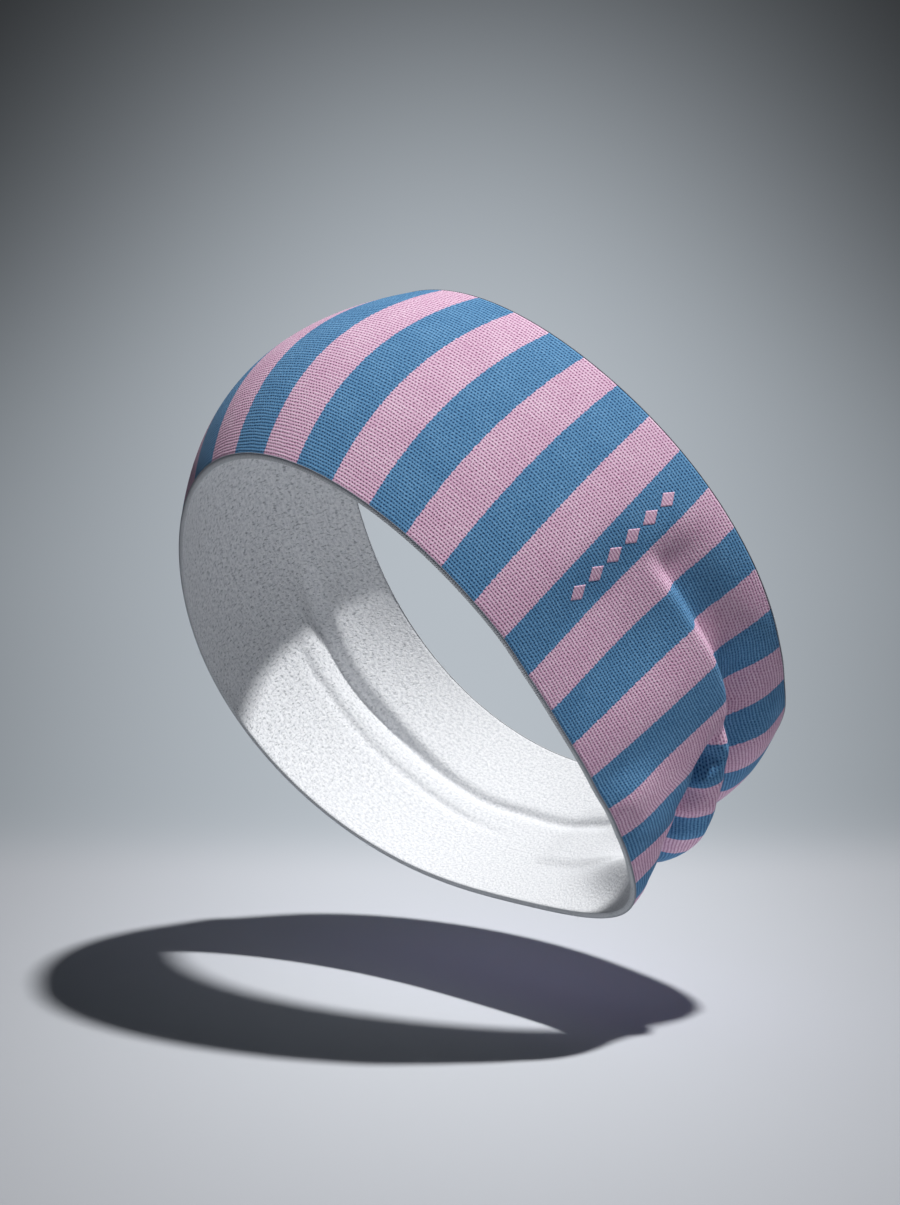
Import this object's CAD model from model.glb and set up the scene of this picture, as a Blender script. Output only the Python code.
"""Wide stretch sports headband: a striped rib knit outside, a soft terry lining inside."""

import bisect
import math
import random
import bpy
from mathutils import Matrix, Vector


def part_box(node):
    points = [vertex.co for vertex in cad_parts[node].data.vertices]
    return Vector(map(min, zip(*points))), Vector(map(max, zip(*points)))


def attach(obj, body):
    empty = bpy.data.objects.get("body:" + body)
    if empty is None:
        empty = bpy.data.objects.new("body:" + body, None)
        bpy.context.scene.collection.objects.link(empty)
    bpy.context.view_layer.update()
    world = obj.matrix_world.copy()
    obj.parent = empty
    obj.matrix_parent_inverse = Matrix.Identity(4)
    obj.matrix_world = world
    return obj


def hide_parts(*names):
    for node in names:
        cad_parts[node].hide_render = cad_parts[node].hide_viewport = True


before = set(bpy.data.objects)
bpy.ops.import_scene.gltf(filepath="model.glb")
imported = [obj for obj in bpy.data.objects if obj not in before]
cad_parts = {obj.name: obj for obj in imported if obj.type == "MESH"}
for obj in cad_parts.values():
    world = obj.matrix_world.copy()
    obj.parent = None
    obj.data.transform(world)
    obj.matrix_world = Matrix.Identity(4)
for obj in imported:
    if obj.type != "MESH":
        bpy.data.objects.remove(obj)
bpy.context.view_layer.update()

import types

import bmesh
import bpy
from bpy.props import FloatProperty, FloatVectorProperty, IntProperty, PointerProperty
from mathutils import Matrix, Vector

bl_info = {
    "name": "Sports Headband",
    "version": (1, 0, 0),
    "blender": (4, 5, 0),
    "location": "View3D > Sidebar > Headband",
    "description": "Builds a striped stretch headband, layer by layer",
    "category": "Object",
}

TURN = 2 * math.pi
MM = 0.001
STRIPES = 42
COLUMNS = 480  # round every ring of cloth or thread

# The elastic, its tacks and the lining's room for them: degrees from the forehead, then shares
ELASTIC_ENDS, ELASTIC_SIDES = (125.4, 234.6), (0.35, 0.70)
TACK_LEFT, TACK_RIGHT, TACK_SPAN, TACK_SIDES = 123.1, 235.3, 1.6, (0.36, 0.69)
ROOM_OPENS, ROOM_CLOSES = (112, 120), (240, 248)
ROOM_BROW_SIDE, ROOM_CROWN_SIDE = (0.28, 0.35), (0.72, 0.79)


def length(name, default, description):
    """A size in metres, given in millimetres."""
    return FloatProperty(
        name=name, description=description, default=default * MM,
        unit="LENGTH", precision=5,
    )


def share(name, default, description):
    return FloatProperty(name=name, description=description, default=default, soft_min=0, soft_max=1)


def degrees(name, default, description):
    return FloatProperty(
        name=name, description=description, default=math.radians(default), subtype="ANGLE",
    )


def colour(name, default, description):
    return FloatVectorProperty(
        name=name, description=description, default=default,
        subtype="COLOR", size=3, min=0, max=1,
    )


class BandForm(bpy.types.PropertyGroup):
    """Shape of the band, which every layer follows."""

    forehead_reach: length("Forehead reach", 107.8, "Middle of the plan to the forehead, at the brow rim")
    nape_reach: length("Nape reach", 76.2, "Middle of the plan to the nape, at the brow rim")
    half_breadth: length("Half breadth", 73.5, "Half the plan's breadth at the brow rim")
    egg: share("Egg", 0.391, "How much broader the plan is ahead of its middle than behind it")
    crown_breadth_gain: length("Crown breadth gain", 16.8, "Extra half breadth at the crown rim")
    crown_forehead_shift: length("Crown forehead shift", -6.1, "Extra forehead reach at the crown rim")
    crown_nape_shift: length("Crown nape shift", -1.9, "Extra nape reach at the crown rim")
    crown_lean: length("Crown lean", 5.9, "How far the crown rim hangs to one side")
    forehead_dome: length("Forehead dome", 15.0, "Bulge of the forehead half way up")
    side_dome: length("Side dome", 4.0, "Bulge of the sides half way up")
    nape_dome: length("Nape dome", 1.5, "Bulge of the nape half way up")
    brow_three: length("Brow three-wave", -2.1, "Slack of the brow rim that repeats three times")
    brow_four: length("Brow four-wave", 0.8, "Slack of the brow rim that repeats four times")
    crown_three_sine: length("Crown three-wave, sine", 2.7, "Crown rim slack that repeats three times")
    crown_three_cosine: length("Crown three-wave, cosine", 3.0, "The same, a quarter wave on")
    crown_four: length("Crown four-wave", 0.8, "Slack of the crown rim that repeats four times")
    band_width: length("Band width", 75.4, "Brow rim to crown rim")
    middle_across: length("Middle, across", 1.905, "Middle of the band's box, from the middle of the plan")
    middle_along: length("Middle, along", -21.044, "Middle of the band's box, from the middle of the plan")


class Layers(bpy.types.PropertyGroup):
    """Thicknesses, from the outside in."""

    shell: length("Knit", 0.7, "Thickness of the striped knit")
    gap: length("Gap", 0.35, "Clearance between layers")
    lining: length("Lining", 0.8, "Thickness of the lining")
    elastic: length("Elastic", 0.8, "Thickness of the elastic")
    rim: length("Rim height", 0.5, "How far the overlock thread reaches into the band")


class KnitLook(bpy.types.PropertyGroup):
    """Striped rib knit."""

    blue: colour("Blue", (0.072, 0.225, 0.430), "Blue yarn")
    blue_light: colour("Blue, lit", (0.215, 0.455, 0.730), "Blue yarn on top of a rib")
    blue_deep: colour("Blue, deep", (0.015, 0.065, 0.190), "Blue yarn between ribs")
    pink: colour("Pink", (0.700, 0.400, 0.580), "Pink yarn")
    pink_light: colour("Pink, lit", (0.980, 0.770, 0.900), "Pink yarn on top of a rib")
    pink_deep: colour("Pink, deep", (0.340, 0.130, 0.250), "Pink yarn between ribs")
    rib_pitch: length("Rib pitch", 0.95, "Distance between ribs")
    stitches: FloatProperty(name="Stitches", description="Stitches across one stripe", default=14)


class LiningLook(bpy.types.PropertyGroup):
    """Soft looped lining."""

    pile: colour("Pile", (0.86, 0.868, 0.885), "Lining pile")
    shade: colour("Shade", (0.64, 0.655, 0.685), "Low parts of the pile")
    hollow: colour("Hollow", (0.20, 0.22, 0.25), "Hollows between the loops")


class EdgeLook(bpy.types.PropertyGroup):
    """Overlocked rims and the fibres that stand off them."""

    thread: colour("Thread", (0.80, 0.82, 0.84), "Overlock thread")
    thread_deep: colour("Thread, deep", (0.26, 0.28, 0.32), "Groove between the layers")
    elastic: colour("Elastic", (0.84, 0.84, 0.82), "Elastic cords")
    elastic_deep: colour("Elastic, deep", (0.50, 0.50, 0.49), "Between the elastic cords")
    fibres: IntProperty(name="Fibres", description="Loose fibres along each rim", default=420, min=0)


class MotifLook(bpy.types.PropertyGroup):
    """Printed diamonds."""

    angle: degrees("Angle", 103.7, "Middle of the motif, from the forehead")
    count: IntProperty(name="Count", description="Diamonds in the row", default=6, min=1)
    pitch: length("Pitch", 7.4, "Distance between diamonds")
    tall: length("Length", 6.2, "Length of one diamond, across the band")
    broad: length("Breadth", 4.6, "Breadth of one diamond, along the band")
    centre: share("Centre", 0.58, "Middle of the row, as a share of the band's width")


class StageLook(bpy.types.PropertyGroup):
    """Floor, lights and camera."""

    floor: colour("Floor", (0.59, 0.61, 0.65), "Floor")
    wall: colour("Wall", (0.46, 0.505, 0.55), "Light off the backdrop")
    drop: length("Drop", 119, "How far below the band's middle the floor lies")
    tilt: degrees("Tilt", 7.73, "How steeply the camera looks down on the floor")
    reach: length("Reach", 240, "Flat floor behind the band")
    bend: length("Bend", 90, "Radius from the floor to the backdrop")
    key: FloatProperty(name="Key light", description="Power of the main light", default=97, unit="POWER")
    bounce: FloatProperty(
        name="Bounce", description="Power of the light off the floor", default=0.10, unit="POWER",
    )
    lens: FloatProperty(name="Lens", description="Focal length", default=85.42, subtype="DISTANCE_CAMERA")


# ---------------------------------------------------------------- shape


def sizes(name):
    """A property group's values as a plain record."""
    group = getattr(bpy.context.scene, name)
    return types.SimpleNamespace(
        **{key: getattr(group, key) for key in type(group).__annotations__}
    )


def smooth(low, high, value):
    t = min(max((value - low) / (high - low), 0), 1)
    return t * t * (3 - 2 * t)


def bell(value):
    return math.exp(-value * value)


def run(stops, degree):
    """Value that glides from stop to stop, each an angle in degrees and a value."""
    if isinstance(stops, (int, float)):
        return stops
    if degree <= stops[0][0]:
        return stops[0][1]
    for (start, first), (end, second) in zip(stops, stops[1:]):
        if degree <= end:
            return first + (second - first) * smooth(start, end, degree)
    return stops[-1][1]


# Creases of the gathered nape: where across the band, how far out (mm), and the spread to the
# brow side and to the crown side, each as stops of (degrees from the forehead, value)
CREASES = (
    # main groove
    (
        ((100, 0.67), (122, 0.70), (140, 0.72), (154, 0.65), (170, 0.58), (190, 0.55), (260, 0.70)),
        ((106, 0), (114, -3.4), (134, -4.8), (145, -8.0), (160, -6.0), (200, -5.0), (255, 0)),
        ((100, 0.05), (134, 0.035), (154, 0.03), (180, 0.05), (255, 0.08)),
        ((100, 0.08), (114, 0.15), (134, 0.17), (154, 0.15), (180, 0.08), (255, 0.09)),
    ),
    # brow side groove, under the main one's lip
    (
        ((147, 0.61), (154, 0.53), (161, 0.415), (170, 0.335), (180, 0.275), (200, 0.24), (230, 0.3)),
        ((146, 0), (154, -6.0), (161, -7.0), (180, -9.5), (200, -7.0), (235, 0)),
        ((146, 0.06), (154, 0.09), (170, 0.11), (235, 0.12)),
        ((146, 0.03), (154, 0.025), (180, 0.06), (235, 0.1)),
    ),
    # slack of the side, ahead of the gathers
    (0.42, ((97, 0), (109, -4.5), (117, -4.5), (134, 0)), 0.35, 0.3),
    # swelling by the brow rim
    (0.1, ((136, 0), (145, 2.5), (154, 1.6), (168, 0)), 0.1, 0.15),
    # roll between the grooves
    (
        ((150, 0.61), (161, 0.53), (170, 0.48), (180, 0.44), (200, 0.40)),
        ((147, 0), (155, 2.0), (180, 2.5), (215, 0)),
        0.05,
        0.05,
    ),
    # pleat that runs on round the other side
    (
        ((225, 0.60), (258, 0.61), (272, 0.585), (301, 0.63), (332, 0.72)),
        ((215, 0), (240, 1.5), (272, 2.2), (298, 5.0), (316, 4.6), (338, 0)),
        ((240, 0.04), (272, 0.035), (310, 0.055)),
        ((240, 0.025), (272, 0.025), (310, 0.032)),
    ),
    # fine pleat beside it
    (
        ((262, 0.43), (290, 0.46), (310, 0.50), (322, 0.54)),
        ((255, 0), (275, 1.1), (305, 1.1), (326, 0)),
        0.03,
        0.02,
    ),
    # crown side of the nape
    (0.85, ((150, 0), (165, 2.5), (200, 2.5), (230, 0)), 0.15, 0.2),
)


# Profiles already worked out, for each set of sizes
PROFILES = {}


class Band:
    """The band's surface, at an angle from the forehead and a share of its width."""

    def __init__(self):
        self.form = sizes("headband_form")
        self.known = PROFILES.setdefault(tuple(vars(self.form).values()), {})
        self.middle = (self.form.middle_across, self.form.middle_along)

    def plan(self, angle, part):
        """Point of the plain surface seen from above, from the middle of the plan."""
        f = self.form
        cos, sin = math.cos(angle), math.sin(angle)
        dome = 4 * part * (1 - part)
        ahead = f.forehead_reach + f.crown_forehead_shift * part + f.forehead_dome * dome
        behind = f.nape_reach + f.crown_nape_shift * part + f.nape_dome * dome
        front = smooth(-1, 1, cos)
        reach = ahead * front + behind * (1 - front)
        breadth = (f.half_breadth + f.crown_breadth_gain * part + f.side_dome * dome) * (1 + f.egg * cos)
        brow = f.brow_three * math.cos(3 * angle) + f.brow_four * math.sin(4 * angle)
        crown = (
            f.crown_three_sine * math.sin(3 * angle) + f.crown_three_cosine * math.cos(3 * angle)
            + f.crown_four * math.sin(4 * angle) + f.crown_lean * sin
        )
        wave = brow * (1 - part) + crown * part
        return breadth * sin + wave * sin, -reach * cos - wave * cos

    def face(self, angle, part, out):
        """Point that stands out level from the plain surface."""
        step = 0.002
        x, y = self.plan(angle, part)
        ax, ay = self.plan(angle + step, part)
        bx, by = self.plan(angle - step, part)
        dx, dy = ax - bx, ay - by
        size = math.hypot(dx, dy)
        return (
            x + dy / size * out - self.middle[0],
            y - dx / size * out - self.middle[1],
            part * self.form.band_width,
        )

    def gathers(self, angle, part):
        """How far the cloth stands out of, or is drawn into, the plain surface."""
        degree = math.degrees(angle) % 360
        height = 0
        for centre, rise, brow_side, crown_side in CREASES:
            at = run(centre, degree)
            spread = run(brow_side, degree) if part < at else run(crown_side, degree)
            height += run(rise, degree) * bell((part - at) / spread)
        return height * MM

    def shares(self, angle):
        """Shares of the height at equal steps along the cloth, from rim to rim."""
        key = round(angle % TURN, 5)
        if key not in self.known:
            steps = 120
            levels = [row / steps for row in range(steps + 1)]
            points = [
                Vector(self.face(angle, level, self.gathers(angle, level))) for level in levels
            ]
            passed = [0]
            for one, two in zip(points, points[1:]):
                passed.append(passed[-1] + (two - one).length)
            self.known[key] = [value / passed[-1] for value in passed]
        return self.known[key]

    def point(self, angle, part, offset=0):
        """Point of the gathered cloth, at a share of its own length from rim to rim."""
        passed = self.shares(angle)
        steps = len(passed) - 1
        row = min(max(bisect.bisect_right(passed, part) - 1, 0), steps - 1)
        inside = (part - passed[row]) / (passed[row + 1] - passed[row])
        level = (row + inside) / steps
        return self.face(angle, level, offset + self.gathers(angle, level))


def stripe_at(angle):
    """Stripes counted from the forehead: the cloth is stretched a little unevenly."""
    return (
        STRIPES * angle / TURN - 1.764
        + 0.054 * math.cos(angle) - 0.137 * math.sin(angle)
        - 0.220 * math.cos(2 * angle) - 0.300 * math.sin(2 * angle)
    )


def new_piece(name, mesh_maker, finish):
    """Turns a bmesh into a piece that rides on the band."""
    mesh = bpy.data.meshes.new(name)
    mesh_maker.to_mesh(mesh)
    mesh_maker.free()
    piece = bpy.data.objects.new(name, mesh)
    bpy.context.scene.collection.objects.link(piece)
    mesh.materials.append(finish)
    for face in mesh.polygons:
        face.use_smooth = True
    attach(piece, "root")
    return piece


def laid_point(band, angle, part, offset):
    """Point of the cloth at an offset that may itself vary over the band."""
    return band.point(angle, part, offset(angle, part) if callable(offset) else offset)


def ring(band, section):
    """Closed ring of cloth. The section is a loop of (share, offset, millimetres across)."""
    rows = len(section)
    bm = bmesh.new()
    uv = bm.loops.layers.uv.new("cloth")
    bmesh.ops.create_grid(bm, x_segments=COLUMNS, y_segments=rows, size=0.5)
    for face in bm.faces:
        for loop in face.loops:
            column = round((loop.vert.co.x + 0.5) * COLUMNS)
            row = round((loop.vert.co.y + 0.5) * rows)
            across = section[min(row, rows - 1)][2]
            loop[uv].uv = (stripe_at(column * TURN / COLUMNS), across)
    for vert in bm.verts:
        column = round((vert.co.x + 0.5) * COLUMNS) % COLUMNS
        row = round((vert.co.y + 0.5) * rows) % rows
        angle = column * TURN / COLUMNS
        part, offset = section[row][:2]
        vert.co = laid_point(band, angle, part, offset)
    bmesh.ops.remove_doubles(bm, verts=bm.verts, dist=1e-7)
    bmesh.ops.recalc_face_normals(bm, faces=bm.faces)
    return bm


def slab(band, columns, rows, spot, outer, inner):
    """Thin piece laid in the band. Spot turns two shares into an angle and a share."""
    bm = bmesh.new()
    bmesh.ops.create_grid(bm, x_segments=columns, y_segments=rows, size=0.5)
    made = bmesh.ops.extrude_face_region(bm, geom=bm.faces[:])["geom"]
    bmesh.ops.translate(
        bm, vec=(0, 0, 1), verts=[item for item in made if isinstance(item, bmesh.types.BMVert)],
    )
    uv = bm.loops.layers.uv.new("cloth")
    width = band.form.band_width
    for face in bm.faces:
        for loop in face.loops:
            angle, part = spot(loop.vert.co.x, loop.vert.co.y)
            loop[uv].uv = (stripe_at(angle), part * width / MM)
    for vert in bm.verts:
        angle, part = spot(vert.co.x, vert.co.y)
        offset = outer if vert.co.z < 0.5 else inner
        vert.co = laid_point(band, angle, part, offset)
    bmesh.ops.recalc_face_normals(bm, faces=bm.faces)
    return bm


def patch(start, end, low, high):
    """Spot for a slab that covers a range of angles and of shares."""
    return lambda x, y: (start + (end - start) * (x + 0.5), low + (high - low) * (y + 0.5))


def cloth_section(band, rim, rows_out, rows_in, outer, inner, bevel=0.1 * MM):
    """Section of one layer: up its outer face and down its inner face."""
    width = band.form.band_width
    section = []
    low, high = rim / width, 1 - rim / width

    def inset(value, amount):
        if callable(value):
            return lambda angle, part: value(angle, part) + amount
        return value + amount

    for row in range(rows_out + 1):
        part = low + (high - low) * row / rows_out
        section.append((part, outer, part * width / MM))
    tip = bevel / width
    section.append((high + tip, inset(outer, -bevel), (high + tip) * width / MM))
    section.append((high + tip, inset(inner, bevel), (high + tip) * width / MM))
    for row in range(rows_in, -1, -1):
        part = low + (high - low) * row / rows_in
        section.append((part, inner, part * width / MM))
    section.append((low - tip, inset(inner, bevel), (low - tip) * width / MM))
    section.append((low - tip, inset(outer, -bevel), (low - tip) * width / MM))
    return section


def make_room(layers, angle, part):
    """How far the lining stands further in where it passes the elastic."""
    degree = math.degrees(angle)
    beside = smooth(*ROOM_OPENS, degree) * (1 - smooth(*ROOM_CLOSES, degree))
    above = smooth(*ROOM_BROW_SIDE, part) * (1 - smooth(*ROOM_CROWN_SIDE, part))
    return beside * above * (layers.elastic + layers.gap)


# ---------------------------------------------------------------- finishes


class Signal:
    """A number that varies over a surface, with the usual operators."""

    def __init__(self, finish, socket):
        self.finish, self.socket = finish, socket

    def maths(self, operation, *values):
        return self.finish.maths(operation, self, *values)

    def __add__(self, other):
        return self.maths("ADD", other)

    def __sub__(self, other):
        return self.maths("SUBTRACT", other)

    def __mul__(self, other):
        return self.maths("MULTIPLY", other)

    def __truediv__(self, other):
        return self.maths("DIVIDE", other)

    def __rsub__(self, other):
        return self.finish.maths("SUBTRACT", other, self)

    def __pow__(self, other):
        return self.maths("POWER", other)

    def cosine(self):
        return self.maths("COSINE")

    def fraction(self):
        return self.maths("FRACT")

    def whole(self):
        return self.maths("FLOOR")

    def wave(self):
        """0 to 1 and back, once for each whole number."""
        return (self * TURN).cosine() * -0.5 + 0.5

    def between(self, low, high):
        return self.finish.node(
            "ShaderNodeMapRange", {"interpolation_type": "SMOOTHSTEP"},
            {"Value": self, "From Min": low, "From Max": high},
        )

    def clamp(self):
        return self.finish.node("ShaderNodeClamp", {}, {"Value": self})


class Finish:
    """A node material."""

    def __init__(self, name, sheen=0.0):
        self.material = bpy.data.materials.new(name)
        self.material.use_nodes = True
        self.tree = self.material.node_tree
        self.tree.nodes.clear()
        self.output = self.tree.nodes.new("ShaderNodeOutputMaterial")
        self.surface = self.tree.nodes.new("ShaderNodeBsdfPrincipled")
        self.surface.inputs["Sheen Weight"].default_value = sheen
        self.surface.inputs["Sheen Roughness"].default_value = 0.5
        self.surface.inputs["Specular IOR Level"].default_value = 0.25
        self.tree.links.new(self.surface.outputs[0], self.output.inputs[0])

    def node(self, kind, settings=None, sockets=None, output=0):
        made = self.tree.nodes.new(kind)
        for key, value in (settings or {}).items():
            setattr(made, key, value)
        for key, value in (sockets or {}).items():
            self.feed(made.inputs[key], value)
        return Signal(self, made.outputs[output])

    def maths(self, operation, *values):
        return self.node("ShaderNodeMath", {"operation": operation}, dict(enumerate(values)))

    def feed(self, socket, value):
        if isinstance(value, Signal):
            self.tree.links.new(value.socket, socket)
        elif hasattr(value, "__len__") and len(value) == 3 and socket.type == "RGBA":
            socket.default_value = (*value, 1)
        else:
            socket.default_value = value

    def mix(self, factor, first, second):
        """Colour from first to second."""
        return self.node(
            "ShaderNodeMix", {"data_type": "RGBA"}, {0: factor, 6: first, 7: second}, output=2,
        )

    def split(self, vector):
        made = self.tree.nodes.new("ShaderNodeSeparateXYZ")
        self.tree.links.new(vector.socket, made.inputs[0])
        return [Signal(self, socket) for socket in made.outputs]

    def join(self, x, y, z=0.0):
        return self.node("ShaderNodeCombineXYZ", {}, {0: x, 1: y, 2: z})

    def cloth(self):
        """Stripes round the band, and millimetres across it."""
        return self.split(self.node("ShaderNodeUVMap", {"uv_map": "cloth"}))[:2]

    def place(self):
        return self.node("ShaderNodeTexCoord", {}, {}, output=3)

    def noise(self, vector, scale, detail=2.0, rough=0.5):
        return self.node(
            "ShaderNodeTexNoise", {},
            {"Vector": vector, "Scale": scale, "Detail": detail, "Roughness": rough},
        )

    def finish(self, paint, roughness, height=None, depth=0.0002, strength=1.0):
        self.feed(self.surface.inputs["Base Color"], paint)
        self.feed(self.surface.inputs["Roughness"], roughness)
        if height is not None:
            bump = self.node(
                "ShaderNodeBump", {}, {"Height": height, "Distance": depth, "Strength": strength},
            )
            self.feed(self.surface.inputs["Normal"], bump)
        return self.material


def knit_finish():
    look = sizes("headband_knit")
    f = Finish("striped_rib_knit", sheen=0.04)
    stripe, across = f.cloth()
    warp = f.noise(f.join(stripe * 3.0, across * 0.25), 1.0, 2.0)
    rib = across / (look.rib_pitch / MM) + (warp - 0.5) * 0.7
    crest = rib.wave()
    groove = 1 - crest
    stitch = stripe * look.stitches + (rib + 0.5).whole() * 0.5 + (warp - 0.5) * 2.0
    pit = groove * groove * stitch.wave() ** 2
    grain = f.noise(f.join(stripe * look.stitches * 1.3, rib * 1.1), 1.0, 3.0, 0.65)
    worn = f.noise(f.join(stripe * 1.6, across * 0.12), 1.0, 3.0, 0.5)
    height = crest * 0.24 - pit * 0.85 + (grain - 0.5) * 1.0 + 0.62
    tone = (height * 0.8 + (worn - 0.5) * 0.25).clamp()
    edge = (grain - 0.5) * 0.10
    pink = f.maths("GREATER_THAN", ((stripe + edge) * 0.5 + 100).fraction(), 0.5)
    low = f.mix(pink, look.blue_deep, look.pink_deep)
    mid = f.mix(pink, look.blue, look.pink)
    top = f.mix(pink, look.blue_light, look.pink_light)
    paint = f.mix(tone.between(0.0, 0.42), low, mid)
    paint = f.mix(tone.between(0.38, 0.95), paint, top)
    return f.finish(paint, 0.85, height, 0.2 * MM, 0.8)


def lining_finish():
    look = sizes("headband_lining")
    f = Finish("looped_lining", sheen=0.05)
    stripe, across = f.cloth()
    ahead = ((stripe + 1.7) * (TURN / STRIPES)).cosine().between(0.0, 0.9)
    tufts = f.noise(f.join(stripe * 12.0, across * 1.1), 1.0, 4.0, 0.65)
    specks = f.noise(f.join(stripe * 24.0, across * 1.4), 1.0, 2.0, 0.6)
    dashes = f.noise(f.join(stripe * 26.0, across * 0.7), 1.0, 2.0, 0.6)
    hollow = specks.between(0.60, 0.78) * 0.32 + dashes.between(0.54, 0.68) * ahead * 0.62
    height = tufts * 1.1 - hollow * 0.7
    paint = f.mix(tufts.between(0.30, 0.62), look.shade, look.pile)
    paint = f.mix(hollow.clamp(), paint, look.hollow)
    return f.finish(paint, 0.95, height, 0.5 * MM, 0.8)


def thread_finish():
    """The rim's outer side is dark, its tip light."""
    look = sizes("headband_edge")
    f = Finish("overlock_thread", sheen=0.2)
    stripe, across = f.cloth()
    turns = (stripe * 17 + across * 0.5).wave()
    grain = f.noise(f.join(stripe * 30, across * 3), 1.0, 2.0)
    tip = across.between(0.8, 1.3)
    paint = f.mix(tip * (turns * 0.35 + 0.65), look.thread_deep, look.thread)
    paint = f.mix(grain.between(0.45, 0.7) * 0.35, paint, look.thread_deep)
    return f.finish(paint, 0.9, turns + grain, 0.2 * MM, 0.8)


def stitch_finish():
    """Bare sewing thread, laid in rows."""
    look = sizes("headband_edge")
    f = Finish("sewing_thread", sheen=0.2)
    stripe, across = f.cloth()
    turns = (stripe * 22 + across * 0.8).wave()
    paint = f.mix(turns, look.elastic_deep, look.elastic)
    return f.finish(paint, 0.9, turns, 0.2 * MM, 0.8)


def fibre_finish():
    look = sizes("headband_edge")
    f = Finish("loose_fibres")
    grain = f.noise(f.place(), 900.0, 1.0)
    return f.finish(f.mix(grain.between(0.4, 0.6), look.thread_deep, look.thread), 0.9)


def print_finish():
    """Ink that has soaked into the ribs, and thins out over the grooves."""
    look = sizes("headband_knit")
    f = Finish("motif_print")
    stripe, across = f.cloth()
    rib = (across / (look.rib_pitch / MM)).wave()
    grain = f.noise(f.join(stripe * 24.0, across * 2.0), 1.0, 3.0, 0.6)
    tone = rib * 0.5 + (grain - 0.5) + 0.3
    paint = f.mix(tone.between(0.0, 0.45), look.pink_deep, look.pink)
    paint = f.mix(tone.between(0.4, 1.0), paint, look.pink_light)
    return f.finish(paint, 0.75, tone, 0.15 * MM, 0.6)


def elastic_finish():
    look = sizes("headband_edge")
    f = Finish("elastic_band")
    stripe, across = f.cloth()
    cords = (across * 0.8).wave()
    weave = (stripe * 16 + (across * 0.8).whole() * 0.5).wave()
    paint = f.mix(cords * (weave * 0.3 + 0.7), look.elastic_deep, look.elastic)
    return f.finish(paint, 0.8, cords + weave * 0.3, 0.3 * MM, 0.8)


def paper_finish(look):
    """Floor and backdrop: the floor is lit by the key, and the backdrop glows softly."""
    f = Finish("studio_paper")
    across, along = f.split(f.node("ShaderNodeUVMap", {"uv_map": "paper"}))[:2]
    pool_centre, pool_stretch, pool_spread = 0.08, 0.19, 0.0324
    away = (across * across + (along - pool_centre) ** 2 * pool_stretch) / pool_spread
    pool = f.maths("EXPONENT", away * -1) * 0.65 + 0.35
    climb = along - (look.reach + look.bend)
    wall = climb.between(-0.17, -0.04)
    paint = f.mix(pool * (1 - wall), (0, 0, 0), look.floor)
    side = f.maths("EXPONENT", across * across * -28.6 * (climb.between(0.04, 0.30) + 0.51))
    high = 1 - climb.between(0.11, 0.40) * 0.98
    glow = f.mix(wall * side * high, (0, 0, 0), look.wall)
    f.feed(f.surface.inputs["Emission Color"], glow)
    f.surface.inputs["Emission Strength"].default_value = 1.0
    f.finish(paint, 0.95)
    clear = f.tree.nodes.new("ShaderNodeBsdfTransparent")
    blend = f.tree.nodes.new("ShaderNodeMixShader")
    behind = f.tree.nodes.new("ShaderNodeNewGeometry")
    f.tree.links.new(behind.outputs["Backfacing"], blend.inputs[0])
    f.tree.links.new(f.surface.outputs[0], blend.inputs[1])
    f.tree.links.new(clear.outputs[0], blend.inputs[2])
    f.tree.links.new(blend.outputs[0], f.output.inputs[0])
    return f.material


# ---------------------------------------------------------------- operators


class HEADBAND_OT_knit(bpy.types.Operator):
    """Builds the striped knit"""

    bl_idname = "headband.knit"
    bl_label = "Striped knit"

    def execute(self, context):
        band, layers = Band(), sizes("headband_layers")
        section = cloth_section(band, layers.rim, 100, 40, 0, -layers.shell)
        piece = new_piece("knit_shell", ring(band, section), knit_finish())
        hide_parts("outer_shell")
        return {"FINISHED"}


class HEADBAND_OT_lining(bpy.types.Operator):
    """Builds the soft lining"""

    bl_idname = "headband.lining"
    bl_label = "Lining"

    def execute(self, context):
        band, layers = Band(), sizes("headband_layers")

        def face(angle, part):
            return -layers.shell - layers.gap - make_room(layers, angle, part)

        section = cloth_section(
            band, layers.rim, 40, 100, face, lambda angle, part: face(angle, part) - layers.lining,
        )
        piece = new_piece("knit_lining", ring(band, section), lining_finish())
        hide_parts("inner_lining")
        return {"FINISHED"}


class HEADBAND_OT_elastic(bpy.types.Operator):
    """Builds the elastic that gathers the nape, and the tacks that hold its ends"""

    bl_idname = "headband.elastic"
    bl_label = "Elastic and tacks"

    def execute(self, context):
        band, layers = Band(), sizes("headband_layers")
        outer = -layers.shell - layers.gap
        inner = outer - layers.elastic
        spot = patch(*map(math.radians, ELASTIC_ENDS), *ELASTIC_SIDES)
        piece = new_piece(
            "gather_elastic", slab(band, 150, 40, spot, outer, inner), elastic_finish(),
        )
        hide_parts("nape_elastic")
        for name, node, start in (
            ("tack_left", "elastic_tack_left", TACK_LEFT),
            ("tack_right", "elastic_tack_right", TACK_RIGHT),
        ):
            spot = patch(math.radians(start), math.radians(start + TACK_SPAN), *TACK_SIDES)
            piece = new_piece(
                name, slab(band, 4, 40, spot, outer, inner), stitch_finish(),
            )
            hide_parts(node)
        return {"FINISHED"}


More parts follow.
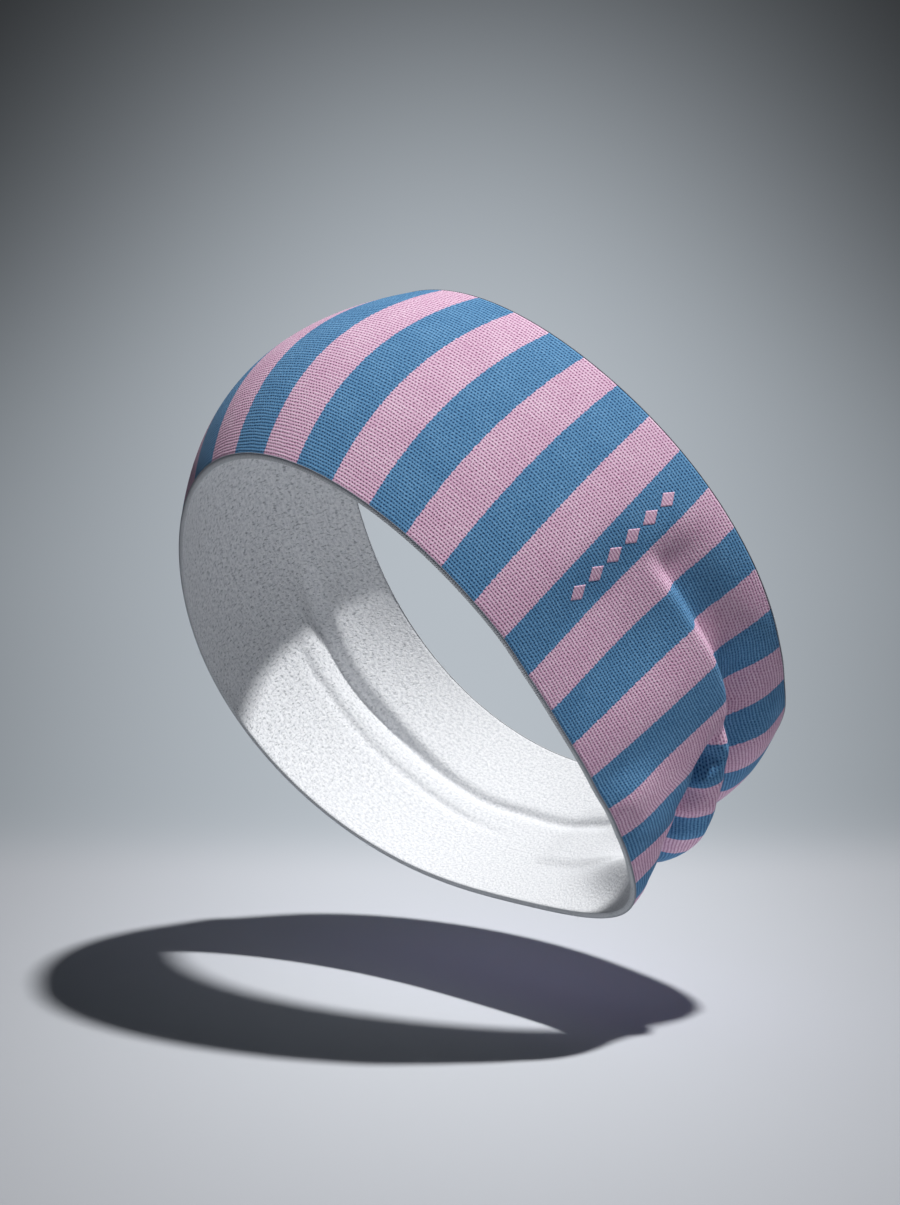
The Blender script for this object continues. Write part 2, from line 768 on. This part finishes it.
class HEADBAND_OT_seam(bpy.types.Operator):
    """Builds the seam that closes the band, inside the nape"""

    bl_idname = "headband.seam"
    bl_label = "Nape seam"

    def execute(self, context):
        band, layers = Band(), sizes("headband_layers")
        half = math.radians(1.5)
        clearance, thin, swell = 0.03, 0.15, 0.45  # millimetres

        def outer(angle, part):
            lining = layers.lining + make_room(layers, angle, part)
            return -layers.shell - layers.gap - lining - clearance * MM

        def inner(angle, part):
            crown = 1 - ((angle - math.pi) / half) ** 2
            return outer(angle, part) - (thin + swell * crown) * MM

        spot = patch(math.pi - half, math.pi + half, 0.03, 0.97)
        piece = new_piece(
            "seam_tape", slab(band, 8, 120, spot, outer, inner), stitch_finish(),
        )
        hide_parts("nape_join_seam")
        return {"FINISHED"}


class HEADBAND_OT_motif(bpy.types.Operator):
    """Builds the row of printed diamonds"""

    bl_idname = "headband.motif"
    bl_label = "Motif"

    def execute(self, context):
        band, look = Band(), sizes("headband_motif")
        finish = print_finish()
        width = band.form.band_width
        ink_outer, ink_inner = 0.08 * MM, 0.02 * MM
        step = 0.01
        before, after = band.point(look.angle - step, 0.5), band.point(look.angle + step, 0.5)
        radius = math.dist(before[:2], after[:2]) / (2 * step)
        for number in range(look.count):
            along = (number - (look.count - 1) / 2) * look.pitch

            def spot(x, y):
                return (
                    look.angle + (x + y) * look.broad / 2 / radius,
                    look.centre + (along + (x - y) * look.tall / 2) / width,
                )

            piece = new_piece(
                f"diamond_{number + 1}", slab(band, 10, 10, spot, ink_outer, ink_inner),
                finish,
            )
            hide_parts(f"motif_{number + 1}")
        return {"FINISHED"}


class HEADBAND_OT_rims(bpy.types.Operator):
    """Builds the overlocked rims"""

    bl_idname = "headband.rims"
    bl_label = "Overlocked rims"

    def execute(self, context):
        band, layers = Band(), sizes("headband_layers")
        width = band.form.band_width
        outside, short, bulge = 0.10 * MM, 0.12 * MM, 0.75 * MM
        inside = -layers.shell - layers.gap - layers.lining - outside
        finish = thread_finish()
        for name, node, start, up in (
            ("brow_rim", "brow_edge_overlock", 0, 1), ("crown_rim", "crown_edge_overlock", 1, -1),
        ):
            reach = up * (layers.rim - short) / width
            section = [
                (start + reach * inward, offset, side) for inward, offset, side in (
                    (1, inside, 4), (0.5, inside, 3.4), (0.15, inside + bulge * 0.4, 3),
                    (0, inside + bulge, 2.8), (0, outside - bulge, 1.2),
                    (0.15, outside - bulge * 0.4, 1), (0.5, outside, 0.6), (1, outside, 0),
                )
            ]
            piece = new_piece(name, ring(band, section), finish)
            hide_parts(node)
        return {"FINISHED"}


class HEADBAND_OT_fibres(bpy.types.Operator):
    """Builds the loose fibres that stand off the rims"""

    bl_idname = "headband.fibres"
    bl_label = "Loose fibres"

    def execute(self, context):
        band, layers, look = Band(), sizes("headband_layers"), sizes("headband_edge")
        chance = random.Random(11)
        depth = layers.shell + layers.gap + layers.lining
        tuft_count, tuft_spread, one_in, tuft_gain = 16, 3, 4, 1.5
        shortest, longest, splay, stands = 0.35, 1.1, 0.5, 0.4
        root_radius, tip_radius = 0.035 * MM, 0.015 * MM
        tufts = [chance.randrange(COLUMNS) for tuft in range(tuft_count)]
        for name, edge, way in (("brow_fibres", 0.002, -1), ("crown_fibres", 0.998, 1)):
            bm = bmesh.new()
            for number in range(look.fibres):
                column = chance.randrange(COLUMNS)
                in_tuft = number % one_in == 0
                if in_tuft:
                    column = tufts[number // one_in % len(tufts)] + chance.randrange(tuft_spread)
                angle = column * TURN / COLUMNS
                root = Vector(band.point(angle, edge, -chance.random() * depth))
                beside = Vector(band.point(angle + TURN / COLUMNS, edge))
                root += (beside - Vector(band.point(angle, edge))) * chance.random()
                tall = chance.uniform(shortest, longest) * MM * (tuft_gain if in_tuft else 1)
                aim = Vector((chance.gauss(0, splay), chance.gauss(0, splay), way)).normalized()
                turned = aim.to_track_quat("Z", "Y").to_matrix().to_4x4()
                bmesh.ops.create_cone(
                    bm, cap_ends=True, segments=3,
                    radius1=root_radius, radius2=tip_radius, depth=tall,
                    matrix=Matrix.Translation(root + aim * tall * stands) @ turned,
                )
            new_piece(name, bm, fibre_finish())
        return {"FINISHED"}


def lay_paper(look, place, sky):
    """Floor that bends up into a backdrop."""
    wide, long, front = 5.0, 2.4, 1.5  # front is the length that lies nearer than the band
    bm = bmesh.new()
    uv = bm.loops.layers.uv.new("paper")
    bmesh.ops.create_grid(bm, x_segments=24, y_segments=160, size=0.5)
    for face in bm.faces:
        face.smooth = True
        for loop in face.loops:
            x, y = loop.vert.co.xy
            loop[uv].uv = (x * wide, (y + 0.5) * long - front)
    for vert in bm.verts:
        across, along = vert.co.x * wide, (vert.co.y + 0.5) * long - front
        turned = min(max(along - look.reach, 0) / look.bend, math.pi / 2)
        climbed = max(along - look.reach - look.bend * math.pi / 2, 0)
        vert.co = place @ Vector((
            across,
            look.bend * (1 - math.cos(turned)) + climbed,
            -min(along, look.reach) - look.bend * math.sin(turned),
        ))
    bmesh.ops.recalc_face_normals(bm, faces=bm.faces)
    if sum(face.normal.dot(sky) for face in bm.faces) < 0:
        bmesh.ops.reverse_faces(bm, faces=bm.faces)
    mesh = bpy.data.meshes.new("studio_paper")
    bm.to_mesh(mesh)
    bm.free()
    floor = bpy.data.objects.new("studio_paper", mesh)
    bpy.context.scene.collection.objects.link(floor)
    mesh.materials.append(paper_finish(look))


def hang_lamp(name, middle, aim, distance, size, power, paint=(1, 1, 1)):
    """Round lamp that shines back along its aim at the middle."""
    data = bpy.data.lights.new(name, "AREA")
    data.shape = "DISK"
    data.size, data.energy, data.color = size, power, paint
    light = bpy.data.objects.new(name, data)
    aim = aim.normalized()
    turned = aim.to_track_quat("Z", "Y").to_matrix().to_4x4()
    light.matrix_world = Matrix.Translation(middle + aim * distance) @ turned
    light.visible_camera = False
    bpy.context.scene.collection.objects.link(light)


def make_world():
    """Dim light all round, behind a paler background that only the camera sees."""
    ambient, background = (0.016, 0.019, 0.025, 1), (0.50, 0.53, 0.57, 1)
    world = bpy.data.worlds.new("studio")
    world.use_nodes = True
    nodes, links = world.node_tree.nodes, world.node_tree.links
    sight = nodes.new("ShaderNodeLightPath")
    seen = nodes.new("ShaderNodeMix")
    seen.data_type = "RGBA"
    seen.inputs[6].default_value = ambient
    seen.inputs[7].default_value = background
    links.new(sight.outputs["Is Camera Ray"], seen.inputs[0])
    links.new(seen.outputs[2], nodes["Background"].inputs[0])
    return world


class HEADBAND_OT_stage(bpy.types.Operator):
    """Builds the floor, the lights and the camera"""

    bl_idname = "headband.stage"
    bl_label = "Stage"

    def execute(self, context):
        look = sizes("headband_stage")
        scene = context.scene
        # the camera's axes and its place, from the middle of the plan
        right = Vector((0.13414, 0.75278, 0.64446))
        up = Vector((0.58613, -0.58465, 0.56092))
        back = Vector((0.79904, 0.30249, -0.51966))
        band = Band()
        eye = Vector((0.71271 - band.middle[0], 0.23991 - band.middle[1], -0.42085))
        turn = Matrix((right, up, back)).transposed().to_4x4()
        camera_data = bpy.data.cameras.new("camera")
        camera_data.lens = look.lens
        camera_data.sensor_width = 36
        camera = bpy.data.objects.new("camera", camera_data)
        camera.matrix_world = Matrix.Translation(eye) @ turn
        camera_data.clip_start, camera_data.clip_end = 0.01, 20
        scene.collection.objects.link(camera)
        scene.camera = camera

        sky = (up * math.cos(look.tilt) + back * math.sin(look.tilt)).normalized()
        level_right = (right - sky * right.dot(sky)).normalized()
        level_back = level_right.cross(sky)
        low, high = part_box("outer_shell")
        middle = (low + high) / 2
        place = Matrix((level_right, sky, level_back)).transposed().to_4x4()
        place.translation = middle - sky * look.drop

        lay_paper(look, place, sky)
        key_side, key_height, key_depth = 0.274, 0.955, 0.114
        aim = level_right * key_side + sky * key_height + level_back * key_depth
        hang_lamp("key", middle, aim, distance=2.8, size=0.17, power=look.key)
        above_floor = 2 * MM
        hang_lamp(
            "bounce", middle, -sky, distance=look.drop - above_floor, size=0.5,
            power=look.bounce, paint=(0.94, 0.97, 1),
        )
        scene.world = make_world()
        scene.view_settings.view_transform = "Standard"
        return {"FINISHED"}


class HEADBAND_PT_panel(bpy.types.Panel):
    """Buttons that build the headband"""

    bl_label = "Sports headband"
    bl_idname = "HEADBAND_PT_panel"
    bl_space_type = "VIEW_3D"
    bl_region_type = "UI"
    bl_category = "Headband"

    def draw(self, context):
        for operator in OPERATORS:
            self.layout.operator(operator.bl_idname)


GROUPS = {
    "headband_form": BandForm,
    "headband_layers": Layers,
    "headband_knit": KnitLook,
    "headband_lining": LiningLook,
    "headband_edge": EdgeLook,
    "headband_motif": MotifLook,
    "headband_stage": StageLook,
}
OPERATORS = (
    HEADBAND_OT_knit, HEADBAND_OT_lining, HEADBAND_OT_elastic, HEADBAND_OT_seam,
    HEADBAND_OT_motif, HEADBAND_OT_rims, HEADBAND_OT_fibres, HEADBAND_OT_stage,
)


def register():
    for name, group in GROUPS.items():
        bpy.utils.register_class(group)
        setattr(bpy.types.Scene, name, PointerProperty(type=group))
    for made in (*OPERATORS, HEADBAND_PT_panel):
        bpy.utils.register_class(made)


def unregister():
    for made in reversed((*OPERATORS, HEADBAND_PT_panel)):
        bpy.utils.unregister_class(made)
    for name, group in reversed(GROUPS.items()):
        delattr(bpy.types.Scene, name)
        bpy.utils.unregister_class(group)


def main():
    register()
    bpy.ops.headband.knit()
    bpy.ops.headband.lining()
    bpy.ops.headband.elastic()
    bpy.ops.headband.seam()
    bpy.ops.headband.motif()
    bpy.ops.headband.rims()
    bpy.ops.headband.fibres()
    bpy.ops.headband.stage()


if __name__ == "__main__":
    main()
